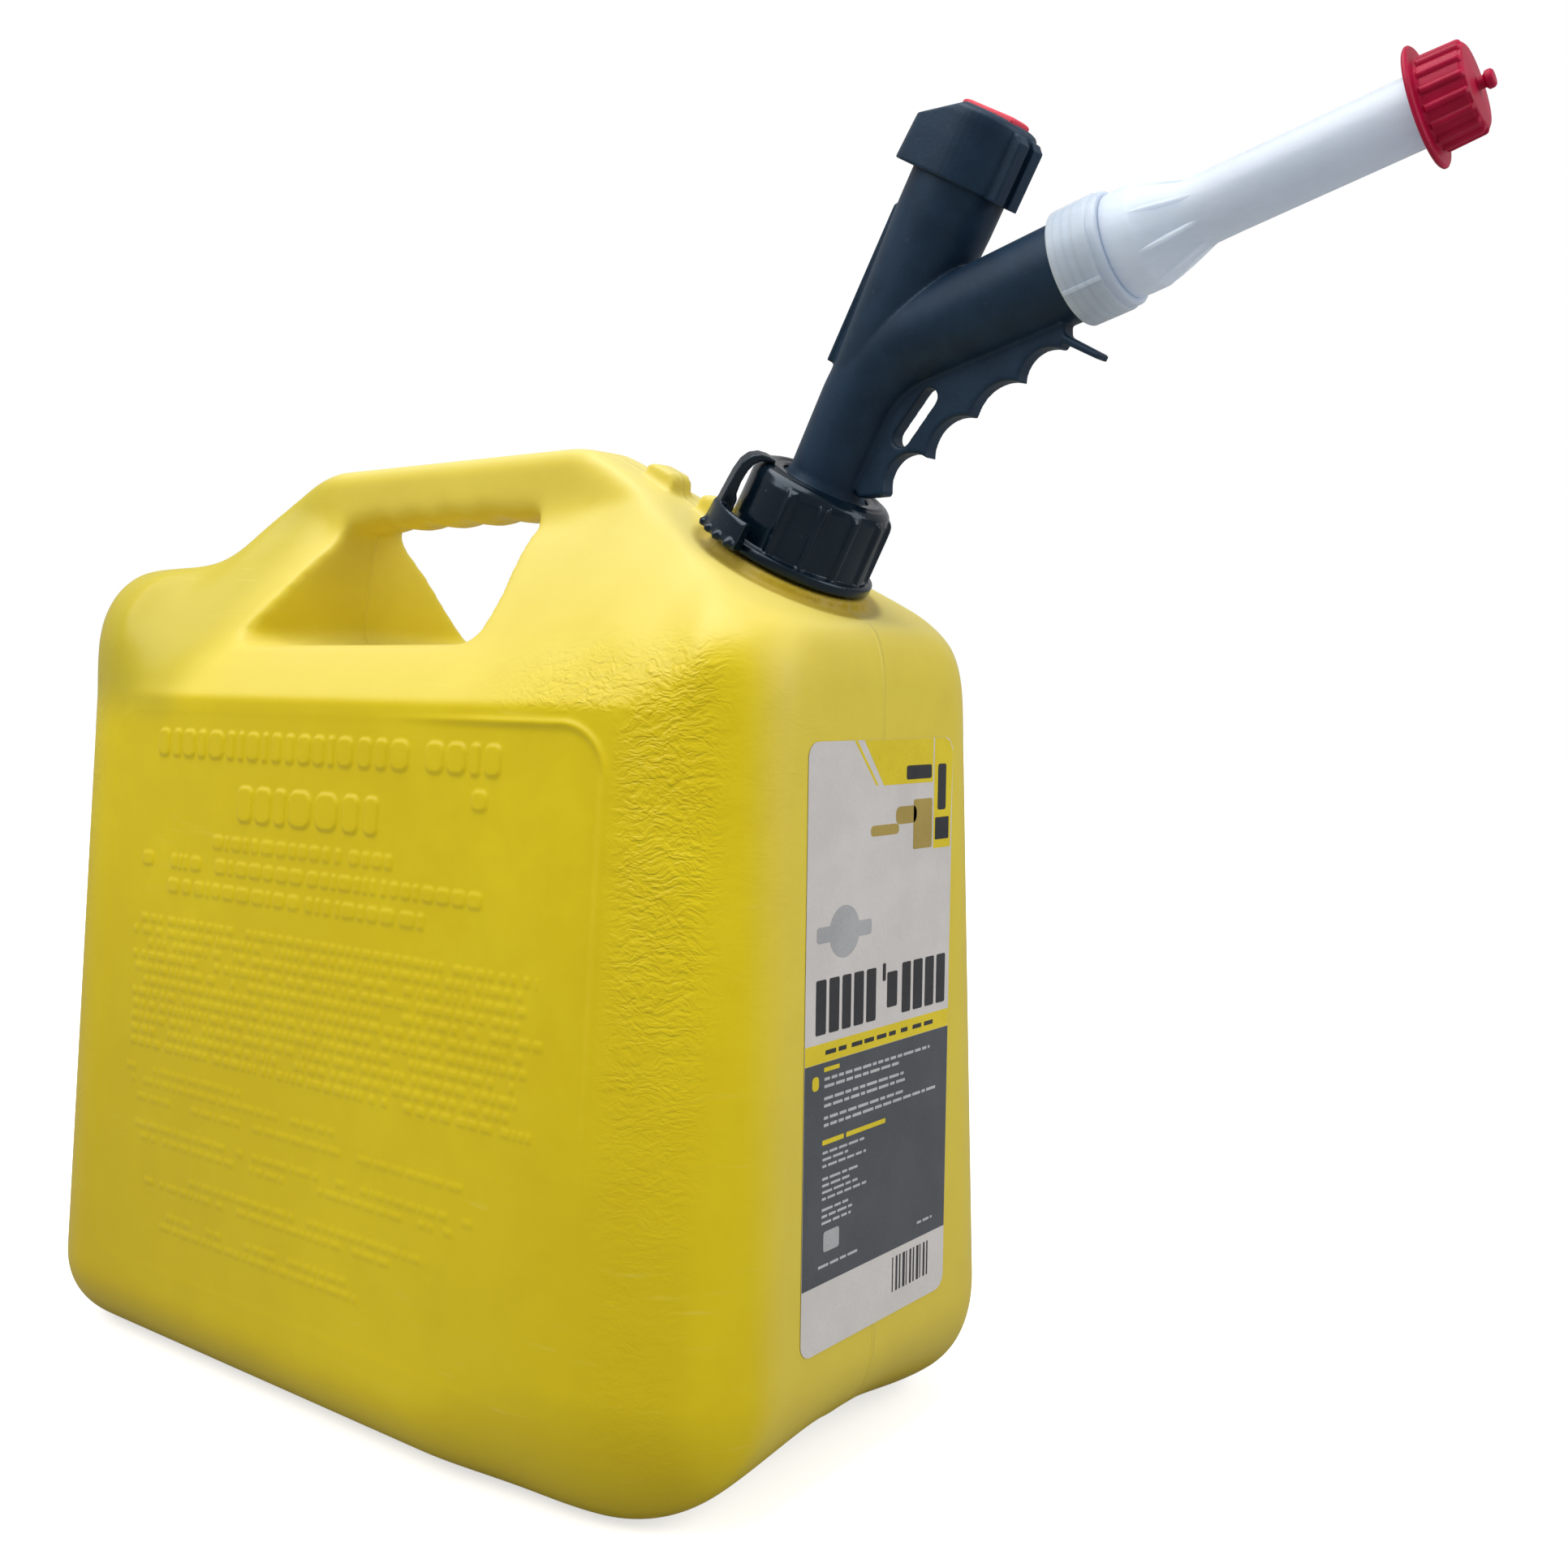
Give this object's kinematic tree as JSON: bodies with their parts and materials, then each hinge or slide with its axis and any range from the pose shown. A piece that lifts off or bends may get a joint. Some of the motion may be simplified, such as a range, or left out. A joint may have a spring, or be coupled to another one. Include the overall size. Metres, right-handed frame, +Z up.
{
  "type": "safety fuel can with push-button spout",
  "caption": "Blow-moulded safety fuel can with a moulded-in carry handle, screw collar with lock lever, and an angled push-button pouring spout with a capped nozzle.",
  "frame": {"origin": "centre of the flat base, on the floor under the middle of the tank", "axes": "+X towards the spout and the pouring side, +Y to the can's left side, +Z up"},
  "size_m": [0.5501, 0.2088, 0.4554],
  "materials": {
    "tank_yellow": "lightly grained, satin",
    "label_film": "satin film",
    "screen_steel": "brushed",
    "seal_rubber": "matte",
    "collar_black": "gloss",
    "spout_black": "satin",
    "natural_plastic": "satin",
    "spring_steel": "bright drawn",
    "button_red": "satin",
    "nozzle_natural": "translucent satin",
    "cap_red": "gloss"
  },
  "bodies": {
    "tank": {"tank_body": "tank_yellow", "front_label": "label_film", "flame_screen": "screen_steel"},
    "spout": {"spout_body": "spout_black", "neck_gasket": "seal_rubber", "valve_seat_ring": "natural_plastic", "rod_guide": "natural_plastic", "rod_seal": "seal_rubber", "return_spring": "spring_steel", "vent_tube": "natural_plastic", "vent_holder": "natural_plastic", "nozzle_gasket": "seal_rubber"},
    "collar": {"collar_nut": "collar_black"},
    "lever": {"lock_lever": "collar_black"},
    "head": {"thumb_head": "spout_black", "push_rod": "spring_steel", "valve_disc": "natural_plastic", "disc_seal": "seal_rubber", "disc_retainer": "spring_steel", "button_spring": "spring_steel"},
    "button": {"safety_button": "button_red"},
    "nozzle": {"nozzle_tube": "nozzle_natural"},
    "nut": {"nozzle_nut": "nozzle_natural"},
    "cap_carrier": {"cap_liner": "seal_rubber"},
    "cap": {"nozzle_cap": "cap_red"}
  },
  "joints": [
    {"name": "spout_lift", "type": "slide", "parent": "tank", "child": "spout", "axis": [0.4848, 0, 0.8746], "range_m": [0, 0.00801]},
    {"name": "collar_turn", "type": "hinge", "parent": "spout", "child": "collar", "pos_m": [0.143, 0, 0.3123], "axis": [0.4848, 0, 0.8746], "range_deg": [0, 720]},
    {"name": "lock_lever_flex", "type": "hinge", "parent": "collar", "child": "lever", "pos_m": [0.15163, -0.02011, 0.34296], "axis": [-0.8219, 0.342, 0.4556], "range_deg": [0, 6]},
    {"name": "head_press", "type": "slide", "parent": "spout", "child": "head", "axis": [-0.4848, 0, -0.8746], "range_m": [0, 0.012], "stiffness_N_per_m": 400, "deforming": ["return_spring"]},
    {"name": "button_press", "type": "slide", "parent": "head", "child": "button", "axis": [-0.4848, 0, -0.8746], "range_m": [0, 0.0026], "stiffness_N_per_m": 800, "deforming": ["button_spring"]},
    {"name": "nozzle_back_off", "type": "slide", "parent": "spout", "child": "nozzle", "axis": [0.965, 0, 0.2622], "range_m": [0, 0.00601]},
    {"name": "nozzle_nut_turn", "type": "hinge", "parent": "nozzle", "child": "nut", "pos_m": [0.17912, 0, 0.37746], "axis": [0.965, 0, 0.2622], "range_deg": [0, 720]},
    {"name": "cap_pull", "type": "slide", "parent": "nozzle", "child": "cap_carrier", "axis": [0.965, 0, 0.2622], "range_m": [0, 0.035]},
    {"name": "cap_twist", "type": "hinge", "parent": "cap_carrier", "child": "cap", "pos_m": [0.17912, 0, 0.37746], "axis": [0.965, 0, 0.2622], "continuous": true}
  ],
  "couplings": [
    {"joint": "spout_lift", "follows": "collar_turn", "m_per_rad": 0.00063662},
    {"joint": "nozzle_back_off", "follows": "nozzle_nut_turn", "m_per_rad": 0.00047746}
  ]
}
